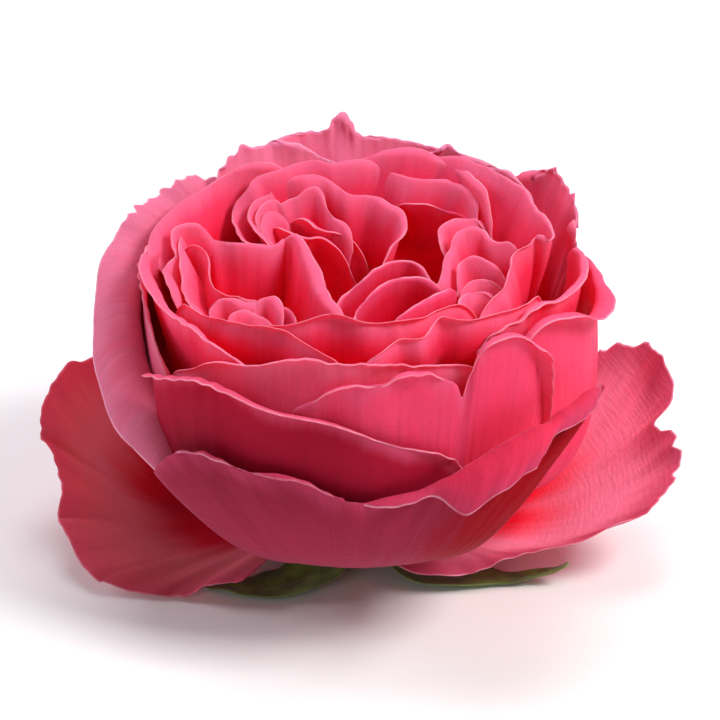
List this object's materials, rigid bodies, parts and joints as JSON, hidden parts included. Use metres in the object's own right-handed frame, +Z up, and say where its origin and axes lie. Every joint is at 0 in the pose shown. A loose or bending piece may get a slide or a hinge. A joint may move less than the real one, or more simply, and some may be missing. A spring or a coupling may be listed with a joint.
{
  "type": "rose bloom",
  "caption": "Full-blown garden rose bloom with a ruffled, quartered centre, a cup of nested petals, two spread guard petals and green sepals, cut flush under the hip.",
  "frame": {"origin": "centre of the flat cut under the hip, on the surface that the bloom stands on", "axes": "+Z up along the bloom's own axis, +X to the right and +Y away from the viewer in the picture; the left guard petal is at -X"},
  "size_m": [0.1136, 0.0882, 0.0628],
  "materials": {
    "guard_petal_left": "soft velvety petal with a pale sheen at the rim",
    "guard_petal_right": "soft velvety petal with a pale sheen at the rim",
    "front_low_petal": "soft velvety petal with a pale sheen at the rim",
    "back_tip_petal": "soft velvety petal with a pale sheen at the rim",
    "left_cup_petal": "soft velvety petal with a pale sheen at the rim",
    "front_mid_petal": "soft velvety petal with a pale sheen at the rim",
    "front_right_petal": "soft velvety petal with a pale sheen at the rim",
    "left_inner_petal": "soft velvety petal with a pale sheen at the rim",
    "right_cup_petal": "soft velvety petal with a pale sheen at the rim",
    "back_left_petal": "soft velvety petal with a pale sheen at the rim",
    "back_right_petal": "soft velvety petal with a pale sheen at the rim",
    "front_inner_petal": "soft velvety petal with a pale sheen at the rim",
    "back_inner_petal": "soft velvety petal with a pale sheen at the rim",
    "right_inner_petal": "soft velvety petal with a pale sheen at the rim",
    "left_small_petal": "soft velvety petal with a pale sheen at the rim",
    "rosette": "soft velvety petal with a pale sheen at the rim",
    "calyx": "matt green leaf blade"
  },
  "bodies": {
    "root": {"guard_petal_left": "guard_petal_left", "guard_petal_right": "guard_petal_right", "front_low_petal": "front_low_petal", "back_tip_petal": "back_tip_petal", "left_cup_petal": "left_cup_petal", "front_mid_petal": "front_mid_petal", "front_right_petal": "front_right_petal", "left_inner_petal": "left_inner_petal", "right_cup_petal": "right_cup_petal", "back_left_petal": "back_left_petal", "back_right_petal": "back_right_petal", "front_inner_petal": "front_inner_petal", "back_inner_petal": "back_inner_petal", "right_inner_petal": "right_inner_petal", "left_small_petal": "left_small_petal", "rosette": "rosette", "calyx": "calyx"}
  },
  "joints": []
}
